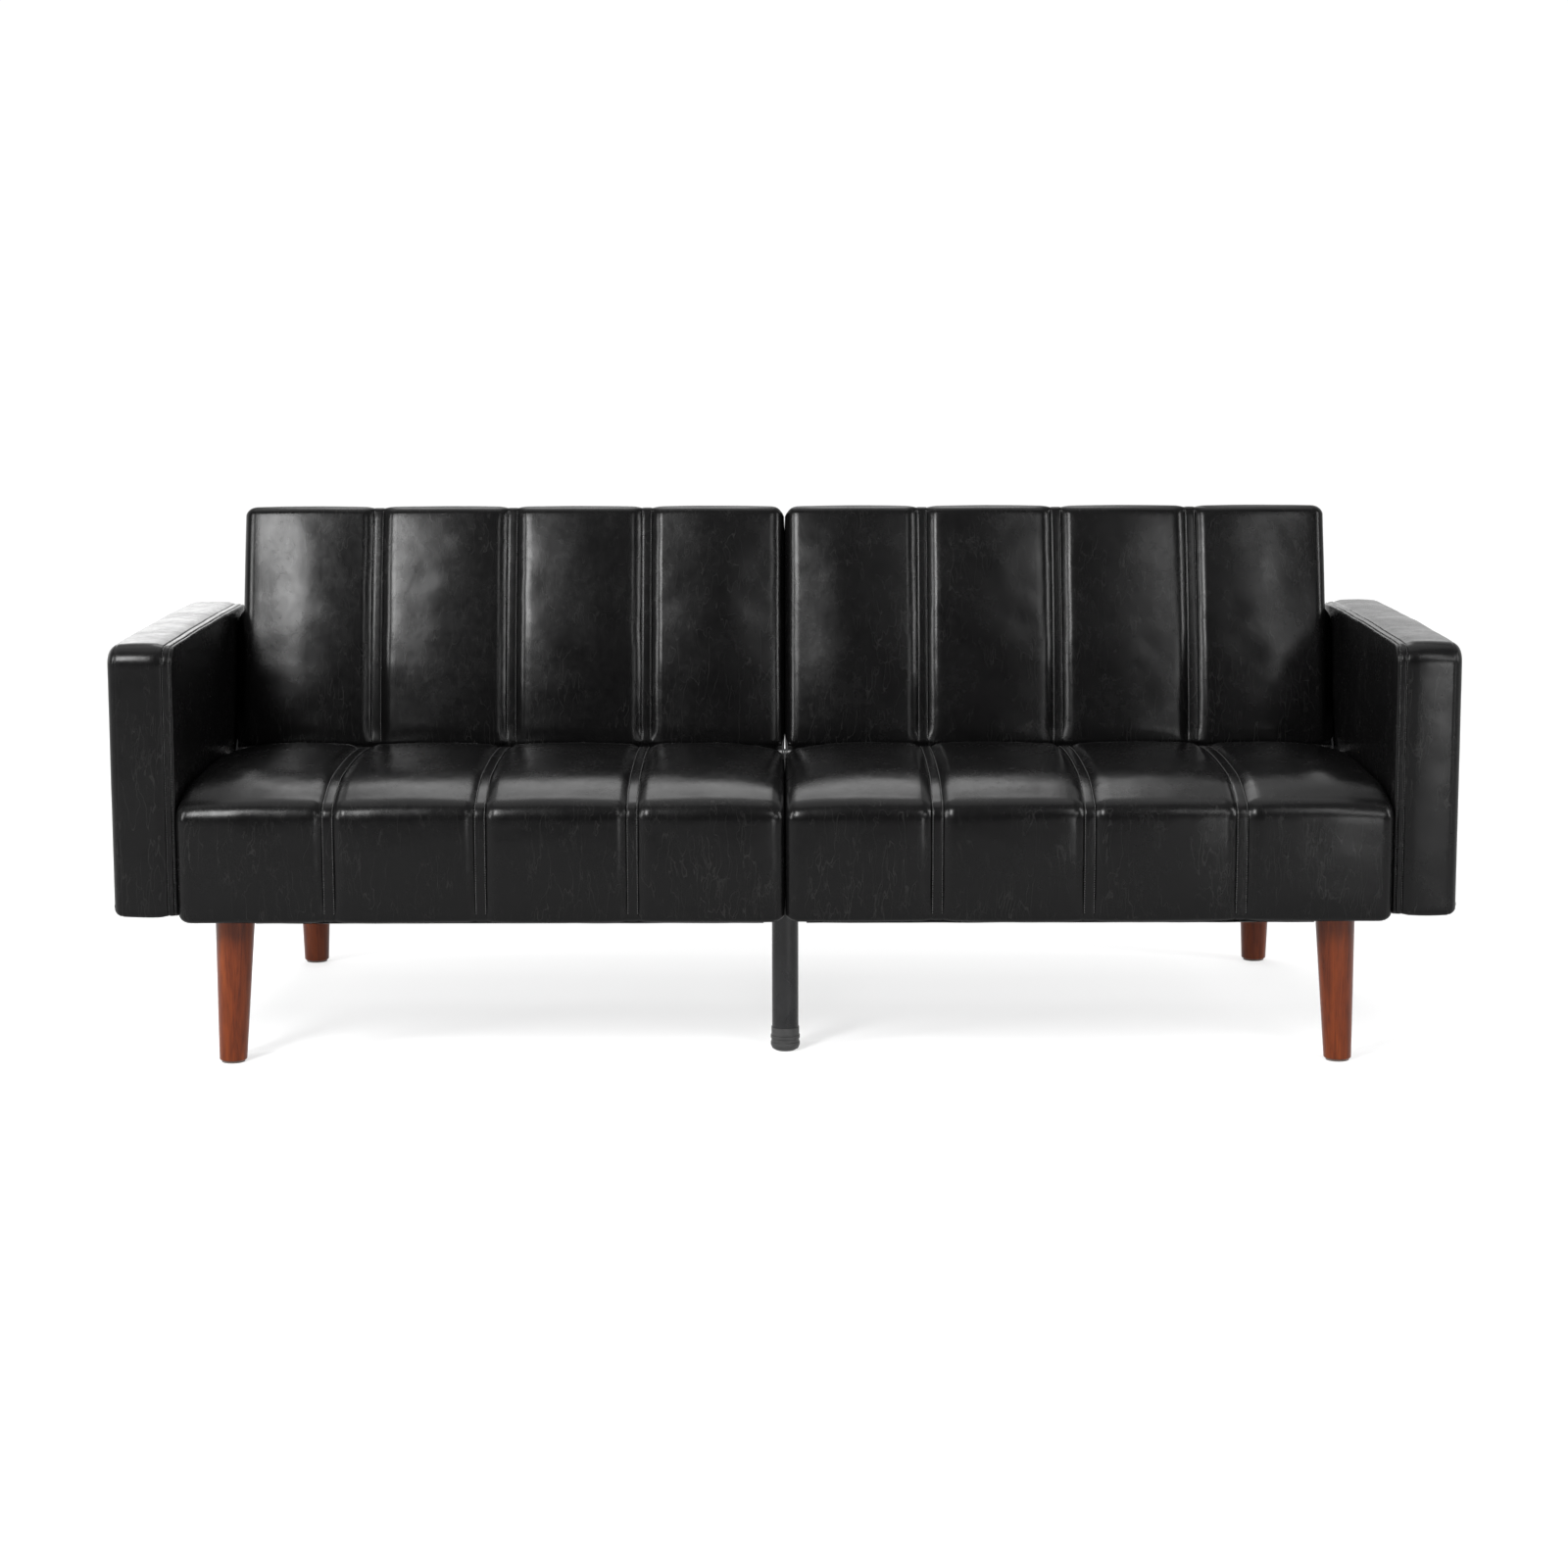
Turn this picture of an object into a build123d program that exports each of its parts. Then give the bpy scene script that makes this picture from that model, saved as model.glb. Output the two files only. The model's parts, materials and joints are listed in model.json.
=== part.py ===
"""Futon sofa bed: split click-clack back, two seat halves, box arms, turned wood legs.

Millimetres. The origin is on the floor under the middle of the sofa. +X is to the right for someone
facing it, the front faces -Y and +Z is up. It stands in its sitting position.
"""

from build123d import *
import os
from math import atan2, cos, degrees, hypot, radians, sin

# Overall sizes
WIDTH = 1880
DEPTH = 785
HEIGHT = 753
FRONT = -DEPTH / 2
REAR = DEPTH / 2

# Seat halves: the top rises from its front edge to a crown and falls again to the rear edge
SEAT_BOTTOM = 213.5
SEAT_TOP = 388
SEAT_LIP = 380
SEAT_CROWN = [(50, 395), (100, 404), (150, 408.5), (230, 410.5), (300, 409.5), (370, 406), (430, 400)]
SEAT_HIGHEST = 411
SEAT_IN = 4
SEAT_OUT = 844
SEAT_DEPTH = 483
SEAT_REAR = FRONT + SEAT_DEPTH
COVER = 1.5
SEAT_ROUND = 14

# Hinge pockets in the rear corners of each seat half
POCKET_DEPTH = 52
POCKET_IN = 10
POCKET_OUT = 832

# Pivot and reclining angles (0 is sitting, positive leans the back forward)
PIVOT_Y = SEAT_REAR + 3
PIVOT_Z = SEAT_TOP - 10
LEAN = 14.1
FLAT_ANGLE = -(90 - LEAN)
RELEASE_ANGLE = 13

# Back halves, as a slab beside the pivot: u runs up the back, w runs out of its front
BACK_IN = 6
BACK_OUT = 838
BACK_GAP = 13
BACK_FRONT = SEAT_TOP - PIVOT_Z
BACK_THICK = 110
BACK_ROUND = 22
BACK_TOP_SAG = BACK_ROUND * (cos(radians(LEAN)) + sin(radians(LEAN)) - 1)
BACK_TOP = (HEIGHT + BACK_TOP_SAG - PIVOT_Z - BACK_FRONT * sin(radians(LEAN))) / cos(radians(LEAN))
BACK_REAR = BACK_FRONT - BACK_THICK

# Arms
ARM_IN = 848
ARM_OUT = WIDTH / 2
ARM_FRONT = FRONT + 18
ARM_REAR = FRONT + 640
ARM_BOTTOM = 221
ARM_TOP = 598
ARM_ROUND = 20
ARM_BOARD = 18

# Timber frames
TIMBER = 60
FRONT_PAD = 14
TIMBER_THICK = 30
BACK_TIMBER = 22
SPRING_WIRE = 3.6
SPRING_HALF_WIDTH = 22
SPRING_PITCH = 24
SPRING_BEND = 5

# Steel base
TUBE_TALL = 30
TUBE_WALL = 2
TUBE_WIDE = 40
BASE_BOTTOM = 216.5
BASE_TOP = BASE_BOTTOM + TUBE_TALL
SIDE_RAIL = 775
FRONT_BAR = FRONT + 47
HINGE_BAR = FRONT + 455
REAR_BAR = FRONT + 757
FOAM_BOTTOM = BASE_TOP + TIMBER_THICK

# Legs
FRONT_LEG_X = 778
FRONT_LEG_SPLAY = 8
FRONT_LEG_Y = FRONT + 78
REAR_LEG_X = 765
REAR_LEG_Y = REAR - 28.5
LEG_TOP_R = 28
LEG_FOOT_R = 19.5
GLIDE_THICK = 3
LEG_PLATE = 56
CENTRE_LEG_Y = FRONT + 143
CENTRE_LEG_R = 19

# Hinges
PLATE = 3
BACK_PLATE = 2.5
PLATE_GAP = 0.3
SEAT_PLATE_OUT = 841.8
PIN_R = 4
PIN_FIT = 0.05
PAWL_PIN_R = 3
PAWL_Y = PIVOT_Y - 34
PAWL_Z = PIVOT_Z - 29
PAWL_TIP_R = 3
PAWL_GAP = 0.4
PAWL_RATIO = 0.1
CAM_START = 27
HINGE_BOLT_U = (60, 150)
HINGE_BOLT_W = BACK_REAR + COVER + BACK_TIMBER / 2
BOLT_HEAD = 1.4

# Bolts
BOLT_R = 4
SEAT_BOLTS = [(782, FRONT + 190), (782, FRONT + 400), (300, FRONT_BAR), (300, HINGE_BAR)]
ARM_BOLTS = [(FRONT + 90, BASE_TOP + TIMBER_THICK / 2), (FRONT + 380, BASE_TOP + TIMBER_THICK / 2)]

SIDES = {"left": -1, "right": 1}


def keep(builder, label):
    """Labels a finished piece and writes it."""
    builder.part.label = label
    export_step(builder.part, f"parts/{label}.step")


def slab_point(u, w):
    """Y and Z of a point of the back: u up from the pivot, w out of its front face."""
    lean = radians(LEAN)
    return (
        PIVOT_Y + u * sin(lean) - w * cos(lean),
        PIVOT_Z + u * cos(lean) + w * sin(lean),
    )


def x_span(side, near, far):
    """The plane at the low X end of a span given by its distances from the middle, and its length."""
    low = min(side * near, side * far)
    return Plane.YZ.offset(low), far - near


def add_block(xs, ys, zs, mode=Mode.ADD):
    """A plain block between two values on each axis, in the part being built."""
    with Locations(((xs[0] + xs[1]) / 2, (ys[0] + ys[1]) / 2, (zs[0] + zs[1]) / 2)):
        Box(xs[1] - xs[0], ys[1] - ys[0], zs[1] - zs[0], mode=mode)


def add_slab(side, xs, us, ws, mode=Mode.ADD):
    """A plain block that leans with the back, in the part being built."""
    y, z = slab_point((us[0] + us[1]) / 2, (ws[0] + ws[1]) / 2)
    with Locations(Location((side * (xs[0] + xs[1]) / 2, y, z), (-LEAN, 0, 0))):
        Box(xs[1] - xs[0], ws[1] - ws[0], us[1] - us[0], mode=mode)


def add_rod(side, near, far, y, z, radius, mode=Mode.ADD):
    """A round bar along X, in the part being built."""
    with Locations((side * (near + far) / 2, y, z)):
        Cylinder(radius, far - near, rotation=(0, 90, 0), mode=mode)


def add_post(x, y, zs, radius, mode=Mode.ADD):
    """A round bar along Z, in the part being built."""
    with Locations((x, y, (zs[0] + zs[1]) / 2)):
        Cylinder(radius, zs[1] - zs[0], mode=mode)


def span(side, near, far):
    """The X values of a span given by its distances from the middle, the low one first."""
    return tuple(sorted((side * near, side * far)))


def cut_seat_bolts(side):
    """Holes for the bolts that come up through the base into the seat's timber."""
    for x, y in SEAT_BOLTS:
        add_post(side * x, y, (BASE_BOTTOM - 1, FOAM_BOTTOM - 8), BOLT_R, Mode.SUBTRACT)


def cut_arm_bolts(side, near, far):
    """Holes for the bolts that hold an arm, through whatever lies between two distances."""
    for y, z in ARM_BOLTS:
        add_rod(side, near, far, y, z, BOLT_R, Mode.SUBTRACT)


def cut_pockets(side):
    """The notches at the rear corners of a seat half, where the hinges stand."""
    ys = (SEAT_REAR - POCKET_DEPTH, SEAT_REAR + 1)
    zs = (SEAT_BOTTOM - 1, SEAT_HIGHEST + 1)
    add_block(span(side, SEAT_IN - 1, POCKET_IN), ys, zs, Mode.SUBTRACT)
    add_block(span(side, POCKET_OUT, SEAT_OUT + 1), ys, zs, Mode.SUBTRACT)


def cut_base_slots(side):
    """Room in a seat cover's lower edge for the base: along the middle, and where a side rail leaves."""
    zs = (SEAT_BOTTOM - 1, BASE_TOP + 0.5)
    add_block(span(side, SEAT_IN - 1, TUBE_WIDE / 2 + 1), (FRONT + 20, SEAT_REAR + 1), zs, Mode.SUBTRACT)
    rail = span(side, SIDE_RAIL - TUBE_WIDE / 2 - 0.5, SIDE_RAIL + TUBE_WIDE / 2 + 0.5)
    add_block(rail, (SEAT_REAR - 5, SEAT_REAR + 1), zs, Mode.SUBTRACT)


def seat_form(side, inset, bottom):
    """A seat half with a crowned top and rounded upper edges, drawn in by an inset, down to a height."""
    plane, length = x_span(side, SEAT_IN + inset, SEAT_OUT - inset)
    front, rear = FRONT + inset, SEAT_REAR - inset
    crown = [(FRONT + y, z - inset) for y, z in SEAT_CROWN]
    with BuildPart() as form:
        with BuildSketch(plane):
            with BuildLine():
                top = Spline((front, SEAT_LIP - inset), *crown, (rear, SEAT_TOP - inset))
                Polyline(top @ 1, (rear, bottom), (front, bottom), top @ 0)
            make_face()
        extrude(amount=length)
        fillet(form.faces().sort_by(Axis.Z)[-1].edges(), SEAT_ROUND - inset)
    return form.part


def back_form(side, inset):
    """A back half with rounded edges, drawn in by an inset."""
    with BuildPart() as form:
        add_slab(
            side,
            (BACK_IN + inset, BACK_OUT - inset),
            (BACK_GAP + inset, BACK_TOP - inset),
            (BACK_REAR + inset, BACK_FRONT - inset),
        )
        up = Vector(0, sin(radians(LEAN)), cos(radians(LEAN)))
        long_edges = form.edges().filter_by(Axis.X)
        fillet(long_edges.filter_by(lambda e: (e.center() - form.part.center()).dot(up) > 0),
               BACK_ROUND - inset)
    return form.part


def arm_form(side, inset, bottom):
    """An arm with every edge but the lowest ones rounded, drawn in by an inset."""
    with BuildPart() as form:
        add_block(
            span(side, ARM_IN + inset, ARM_OUT - inset),
            (ARM_FRONT + inset, ARM_REAR - inset),
            (bottom, ARM_TOP - inset),
        )
        fillet(form.faces().sort_by(Axis.Z)[-1].edges(), ARM_ROUND - inset)
    return form.part


def seat_cover(name, side):
    """Upholstery of a seat half: open below, notched for the hinges."""
    with BuildPart() as cover:
        add(seat_form(side, 0, SEAT_BOTTOM))
        add(seat_form(side, COVER, SEAT_BOTTOM - 5), mode=Mode.SUBTRACT)
        cut_pockets(side)
        cut_base_slots(side)
        cut_arm_bolts(side, SEAT_OUT - 5, SEAT_OUT + 1)
    keep(cover, f"seat_cover_{name}")


def seat_foam(name, side):
    """Foam block of a seat half, resting on its timber frame and hanging over its front rail."""
    with BuildPart() as foam:
        add(seat_form(side, COVER, FOAM_BOTTOM))
        pad = (FRONT + COVER, FRONT + COVER + FRONT_PAD)
        add_block(span(side, SEAT_IN + COVER, SEAT_OUT - COVER), pad, (BASE_BOTTOM, FOAM_BOTTOM))
        cut_pockets(side)
    keep(foam, f"seat_foam_{name}")


def seat_timber(name, side):
    """Flat timber rails under the foam: two long ones, and two short ones between them."""
    inner = POCKET_IN + 4
    outer = POCKET_OUT - 2
    zs = (BASE_TOP, FOAM_BOTTOM)
    front = (FRONT + COVER + FRONT_PAD, FRONT + COVER + FRONT_PAD + TIMBER)
    rear = (SEAT_REAR - COVER - TIMBER, SEAT_REAR - COVER)
    with BuildPart() as long_rails:
        for ys in (front, rear):
            add_block(span(side, inner, outer), ys, zs)
        cut_seat_bolts(side)
    keep(long_rails, f"seat_long_rails_{name}")
    with BuildPart() as short_rails:
        for xs in ((inner, inner + TIMBER), (outer - TIMBER, outer)):
            add_block(span(side, *xs), (front[1], rear[0]), zs)
        cut_seat_bolts(side)
        cut_arm_bolts(side, outer - TIMBER, outer)
    keep(short_rails, f"seat_short_rails_{name}")


def zigzag(start, end):
    """Corners of a sinuous spring that snakes along X between two ends."""
    turns = int((end - start) // SPRING_PITCH)
    pitch = (end - start) / turns
    points = [(start, 0)]
    for turn in range(turns):
        y = SPRING_HALF_WIDTH * (-1) ** turn
        points += [(start + (turn + 0.25) * pitch, y), (start + (turn + 0.75) * pitch, y)]
    return points + [(end, 0)]


def spring_row(label, planes, start, end):
    """Sinuous springs of bent wire, one on each plane, along its X direction."""
    with BuildPart() as springs:
        for plane in planes:
            with BuildLine(plane) as wire:
                FilletPolyline(*zigzag(start, end), radius=SPRING_BEND)
            path = wire.line
            with BuildSketch(Plane(origin=path @ 0, z_dir=path % 0)):
                Circle(SPRING_WIRE / 2)
            sweep(path=path)
    keep(springs, label)


def seat_springs(name, side):
    """Sinuous springs between the long rails of a seat half."""
    planes = [
        Plane(origin=(side * (150 + 135 * number), 0, FOAM_BOTTOM - 6), x_dir=(0, 1, 0), z_dir=(0, 0, 1))
        for number in range(5)
    ]
    start = FRONT + COVER + FRONT_PAD + TIMBER + 3
    end = SEAT_REAR - COVER - TIMBER - 3
    spring_row(f"seat_springs_{name}", planes, start, end)


def dust_cover(name, side):
    """Thin cloth that closes a seat half from below."""
    with BuildPart() as cloth:
        add_block(span(side, 30, 738), (FRONT + 8, SEAT_REAR - 8), (BASE_BOTTOM - 1.2, BASE_BOTTOM - 0.6))
        for x, y in SEAT_BOLTS:
            add_post(side * x, y, (BASE_BOTTOM - 2, BASE_BOTTOM), 9, Mode.SUBTRACT)
    keep(cloth, f"dust_cover_{name}")


def back_cover(name, side):
    """Upholstery all round a back half, open along its lower face."""
    with BuildPart() as cover:
        add(back_form(side, 0))
        add(back_form(side, COVER), mode=Mode.SUBTRACT)
        us = (BACK_GAP - 1, BACK_GAP + COVER + 1)
        ws = (BACK_REAR + 12, BACK_FRONT - 12)
        add_slab(side, (BACK_IN + 10, BACK_OUT - 10), us, ws, Mode.SUBTRACT)
        cut_hinge_bolts(side)
    keep(cover, f"back_cover_{name}")


def back_foam(name, side):
    """Foam of a back half, in front of its timber frame and springs."""
    with BuildPart() as foam:
        add(back_form(side, COVER))
        ws = (BACK_REAR, BACK_REAR + COVER + BACK_TIMBER)
        add_slab(side, (BACK_IN, BACK_OUT), (BACK_GAP, BACK_TOP), ws, Mode.SUBTRACT)
    keep(foam, f"back_foam_{name}")


def cut_hinge_bolts(side):
    """Holes for the hinge bolts in both ends of a back half."""
    for u in HINGE_BOLT_U:
        y, z = slab_point(u, HINGE_BOLT_W)
        add_rod(side, BACK_IN - 1, BACK_IN + 50, y, z, BOLT_R, Mode.SUBTRACT)
        add_rod(side, BACK_OUT - 50, BACK_OUT + 1, y, z, BOLT_R, Mode.SUBTRACT)


def back_timber(name, side):
    """Timber frame of a back half: rails along the bottom and top, stiles between them."""
    inner = BACK_IN + COVER
    outer = BACK_OUT - COVER
    ws = (BACK_REAR + COVER, BACK_REAR + COVER + BACK_TIMBER)
    low = (BACK_GAP + COVER, BACK_GAP + COVER + 45)
    high = (BACK_TOP - BACK_ROUND - 45, BACK_TOP - BACK_ROUND)
    with BuildPart() as rails:
        for us in (low, high):
            add_slab(side, (inner + 45, outer - 45), us, ws)
    keep(rails, f"back_rails_{name}")
    with BuildPart() as stiles:
        for xs in ((inner, inner + 45), (outer - 45, outer)):
            add_slab(side, xs, (low[0], high[1]), ws)
        cut_hinge_bolts(side)
    keep(stiles, f"back_stiles_{name}")


def back_springs(name, side):
    """Sinuous springs between the rails of a back half."""
    lean = radians(LEAN)
    y, z = slab_point(0, HINGE_BOLT_W)
    planes = [
        Plane(
            origin=(side * (150 + 170 * number), y, z),
            x_dir=(0, sin(lean), cos(lean)),
            z_dir=(0, -cos(lean), sin(lean)),
        )
        for number in range(4)
    ]
    start = BACK_GAP + COVER + 48
    end = BACK_TOP - BACK_ROUND - 48
    spring_row(f"back_springs_{name}", planes, start, end)


def arm_cover(name, side):
    """Upholstery of an arm, open below."""
    with BuildPart() as cover:
        add(arm_form(side, 0, ARM_BOTTOM))
        add(arm_form(side, COVER, ARM_BOTTOM - 5), mode=Mode.SUBTRACT)
        cut_arm_bolts(side, ARM_IN - 1, ARM_IN + COVER + 1)
    keep(cover, f"arm_cover_{name}")


def arm_core(name, side):
    """The plywood board that stiffens an arm, and the padding around it."""
    xs = span(side, ARM_IN + 18, ARM_IN + 18 + ARM_BOARD)
    ys = (ARM_FRONT + 25, ARM_REAR - 25)
    zs = (ARM_BOTTOM, ARM_TOP - 40)
    with BuildPart() as board:
        add_block(xs, ys, zs)
        fillet(board.edges().filter_by(Axis.X).group_by(Axis.Z)[-1], 12)
        cut_arm_bolts(side, ARM_IN, ARM_OUT)
    keep(board, f"arm_board_{name}")
    with BuildPart() as padding:
        add(arm_form(side, COVER, ARM_BOTTOM))
        add_block(xs, ys, (zs[0] - 1, zs[1]), Mode.SUBTRACT)
        cut_arm_bolts(side, ARM_IN, ARM_IN + 18 + ARM_BOARD)
    keep(padding, f"arm_padding_{name}")


def arm_bolts(name, side):
    """Bolts from the seat's timber through to the arm's board."""
    inner = POCKET_OUT - 2 - TIMBER
    with BuildPart() as bolts:
        for y, z in ARM_BOLTS:
            add_rod(side, inner, ARM_IN + 18 + ARM_BOARD, y, z, BOLT_R)
            add_rod(side, inner - 5, inner, y, z, 9)
    keep(bolts, f"arm_bolts_{name}")


def tube(xs, ys):
    """A rectangular tube of the base between two values on X and Y, in the part being built."""
    zs = (BASE_BOTTOM, BASE_TOP)
    add_block(xs, ys, zs)
    along_x = xs[1] - xs[0] > ys[1] - ys[0]
    inner_x = xs if along_x else (xs[0] + TUBE_WALL, xs[1] - TUBE_WALL)
    inner_y = (ys[0] + TUBE_WALL, ys[1] - TUBE_WALL) if along_x else ys
    add_block(inner_x, inner_y, (zs[0] + TUBE_WALL, zs[1] - TUBE_WALL), Mode.SUBTRACT)


def leg_spots():
    """Top centre and foot centre of each wood leg, by name."""
    spots = {}
    for name, side in SIDES.items():
        top = (side * FRONT_LEG_X, FRONT_LEG_Y)
        foot = (side * (FRONT_LEG_X + FRONT_LEG_SPLAY), FRONT_LEG_Y)
        spots[f"leg_front_{name}"] = (top, foot)
        rear = (side * REAR_LEG_X, REAR_LEG_Y)
        spots[f"leg_rear_{name}"] = (rear, rear)
    return spots


def cut_leg_bolts():
    """Holes for the hanger bolts above the legs."""
    for top, _ in leg_spots().values():
        add_post(*top, (SEAT_BOTTOM - 40, BASE_BOTTOM + TUBE_WALL), BOLT_R, Mode.SUBTRACT)


def base_side_rail(name, side):
    """The tube that runs from the front leg back to the rear leg."""
    with BuildPart() as rail:
        tube(span(side, SIDE_RAIL - TUBE_WIDE / 2, SIDE_RAIL + TUBE_WIDE / 2), (FRONT_BAR - 15, REAR))
        cut_seat_bolts(side)
        cut_leg_bolts()
    keep(rail, f"base_side_rail_{name}")


def base_bars():
    """Cross tubes between the side rails, and the beam down the middle."""
    inner = SIDE_RAIL - TUBE_WIDE / 2
    half = TUBE_WIDE / 2
    with BuildPart() as ends:
        for y in (FRONT_BAR, REAR_BAR):
            tube((-inner, inner), (y - 15, y + 15))
        for side in SIDES.values():
            cut_seat_bolts(side)
    keep(ends, "base_end_bars")
    with BuildPart() as hinge_bars:
        for side in SIDES.values():
            tube(span(side, half, inner), (HINGE_BAR - 15, HINGE_BAR + 15))
            tube(span(side, inner + TUBE_WIDE, SEAT_PLATE_OUT), (HINGE_BAR - 15, HINGE_BAR + 15))
            cut_seat_bolts(side)
    keep(hinge_bars, "base_hinge_bars")
    with BuildPart() as beam:
        tube((-half, half), (FRONT_BAR + 15, REAR_BAR - 15))
    keep(beam, "base_centre_beam")


def seat_bolts():
    """Bolts that hold both seat frames down on the base."""
    with BuildPart() as bolts:
        for side in SIDES.values():
            for x, y in SEAT_BOLTS:
                add_post(side * x, y, (BASE_BOTTOM, FOAM_BOTTOM - 8), BOLT_R)
                add_post(side * x, y, (BASE_BOTTOM - 2.5, BASE_BOTTOM), 8)
    keep(bolts, "seat_bolts")


def wood_legs():
    """Four tapered round legs. The front ones splay outward a little."""
    for label, (top, foot) in leg_spots().items():
        with BuildPart() as leg:
            with BuildSketch(Plane.XY.offset(GLIDE_THICK)):
                with Locations(foot):
                    Circle(LEG_FOOT_R)
            with BuildSketch(Plane.XY.offset(SEAT_BOTTOM)):
                with Locations(top):
                    Circle(LEG_TOP_R)
            loft()
            fillet(leg.edges().group_by(Axis.Z)[0], 2)
            cut_leg_bolts()
        keep(leg, label)


def leg_fittings():
    """Plates above the wood legs, hanger bolts through them, and glides under the legs."""
    with BuildPart() as plates:
        for x, y in [top for top, _ in leg_spots().values()]:
            half = LEG_PLATE / 2
            add_block((x - half, x + half), (y - half, y + half), (SEAT_BOTTOM, BASE_BOTTOM))
        fillet(plates.edges().filter_by(Axis.Z), 6)
        cut_leg_bolts()
    keep(plates, "leg_plates")
    with BuildPart() as bolts:
        for top, _ in leg_spots().values():
            add_post(*top, (SEAT_BOTTOM - 40, BASE_BOTTOM + TUBE_WALL), BOLT_R)
    keep(bolts, "leg_hanger_bolts")
    with BuildPart() as glides:
        for _, foot in leg_spots().values():
            add_post(*foot, (0, GLIDE_THICK), LEG_FOOT_R - 3)
    keep(glides, "leg_glides")


def centre_leg():
    """The steel tube under the middle of the seat, and its ribbed rubber foot."""
    with BuildPart() as leg:
        with BuildSketch(Plane.XY.offset(4)):
            with Locations((0, CENTRE_LEG_Y)):
                Circle(CENTRE_LEG_R)
                Circle(CENTRE_LEG_R - 1.5, mode=Mode.SUBTRACT)
        extrude(amount=BASE_BOTTOM - 4)
    keep(leg, "centre_leg_tube")
    inner = CENTRE_LEG_R
    profile = [(0, 0), (14, 0), (19, 3), (21, 8), (21, 12), (20, 13), (20, 17), (21, 18), (21, 22),
               (20, 23), (20, 34), (inner, 34), (inner, 4), (0, 4)]
    with BuildPart() as foot:
        with BuildSketch(Plane.XZ.offset(-CENTRE_LEG_Y)):
            Polygon(*profile, align=None)
        revolve(axis=Axis((0, CENTRE_LEG_Y, 0), (0, 0, 1)))
    keep(foot, "centre_leg_foot")


def seat_plate_face(foot_z):
    """Outline of a seat hinge plate, with holes for its two pins, in the sketch being built."""
    with BuildSketch(mode=Mode.PRIVATE) as outline:
        with Locations((PIVOT_Y, PIVOT_Z)):
            Circle(10)
        with Locations((PAWL_Y, PAWL_Z)):
            Circle(9)
        with Locations((HINGE_BAR, foot_z + 6)):
            Rectangle(40, 12)
        make_hull()
        with Locations((PIVOT_Y, PIVOT_Z)):
            Circle(PIN_R, mode=Mode.SUBTRACT)
        with Locations((PAWL_Y, PAWL_Z)):
            Circle(PAWL_PIN_R, mode=Mode.SUBTRACT)
    return outline.sketch


def seat_plates():
    """Fixed hinge plates: one at each end of the seat, one in the middle for both halves."""
    outer = seat_plate_face(BASE_BOTTOM)
    for name, side in SIDES.items():
        plane, length = x_span(side, SEAT_PLATE_OUT, SEAT_PLATE_OUT + PLATE)
        with BuildPart() as plate:
            with BuildSketch(plane):
                add(outer)
            extrude(amount=length)
        keep(plate, f"seat_hinge_plate_{name}")
    with BuildPart() as centre:
        with BuildSketch(Plane.YZ.offset(-PLATE / 2)):
            add(seat_plate_face(BASE_TOP))
        extrude(amount=PLATE)
    keep(centre, "seat_hinge_plate_centre")


def pawl_tip(angle):
    """Y and Z of the centre of a pawl's tip when its back half has turned by an angle."""
    reach = hypot(PIVOT_Y - PAWL_Y, PIVOT_Z - CAM_START - PAWL_Z)
    rest = atan2(PIVOT_Z - CAM_START - PAWL_Z, PIVOT_Y - PAWL_Y)
    turn = rest + PAWL_RATIO * radians(angle)
    return PAWL_Y + reach * cos(turn), PAWL_Z + reach * sin(turn)


def cam_points(steps=16):
    """The edge of the back plate's cam, which the pawl's tip follows over the whole travel."""
    first = FLAT_ANGLE - 4
    last = RELEASE_ANGLE + 4
    points = []
    for step in range(steps + 1):
        angle = first + (last - first) * step / steps
        y, z = pawl_tip(angle)
        reach = hypot(y - PIVOT_Y, z - PIVOT_Z) - PAWL_TIP_R - PAWL_GAP
        heading = atan2(z - PIVOT_Z, y - PIVOT_Y) - radians(angle)
        points.append((PIVOT_Y + reach * cos(heading), PIVOT_Z + reach * sin(heading)))
    return points


def back_plate_face():
    """Outline of a back hinge plate: a cam around the pivot and an arm to its two bolts."""
    bolts = [slab_point(u, HINGE_BOLT_W) for u in HINGE_BOLT_U]
    edge = cam_points()
    with BuildSketch(mode=Mode.PRIVATE) as outline:
        with Locations((PIVOT_Y, PIVOT_Z)):
            Circle(10.5)
        with Locations(*bolts):
            Circle(13)
        make_hull()
        with BuildLine():
            Spline(*edge)
            Polyline(edge[-1], (PIVOT_Y, PIVOT_Z), edge[0])
        make_face()
        with Locations((PIVOT_Y, PIVOT_Z)):
            Circle(PIN_R + PIN_FIT, mode=Mode.SUBTRACT)
        with Locations(*bolts):
            Circle(BOLT_R, mode=Mode.SUBTRACT)
    return outline.sketch


# Distances from the middle of the hinge layers at each end of a back half: the moving plate and pawl
# beside the inner end, and beside the outer end.
INNER_LAYER = (PLATE / 2 + PLATE_GAP, PLATE / 2 + PLATE_GAP + BACK_PLATE)
OUTER_LAYER = (SEAT_PLATE_OUT - PLATE_GAP - BACK_PLATE, SEAT_PLATE_OUT - PLATE_GAP)


def back_plates(name, side):
    """Moving hinge plates at both ends of a back half."""
    face = back_plate_face()
    with BuildPart() as plates:
        for layer in (INNER_LAYER, OUTER_LAYER):
            plane, length = x_span(side, *layer)
            with BuildSketch(plane):
                add(face)
            extrude(amount=length)
    keep(plates, f"back_hinge_plates_{name}")


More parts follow.
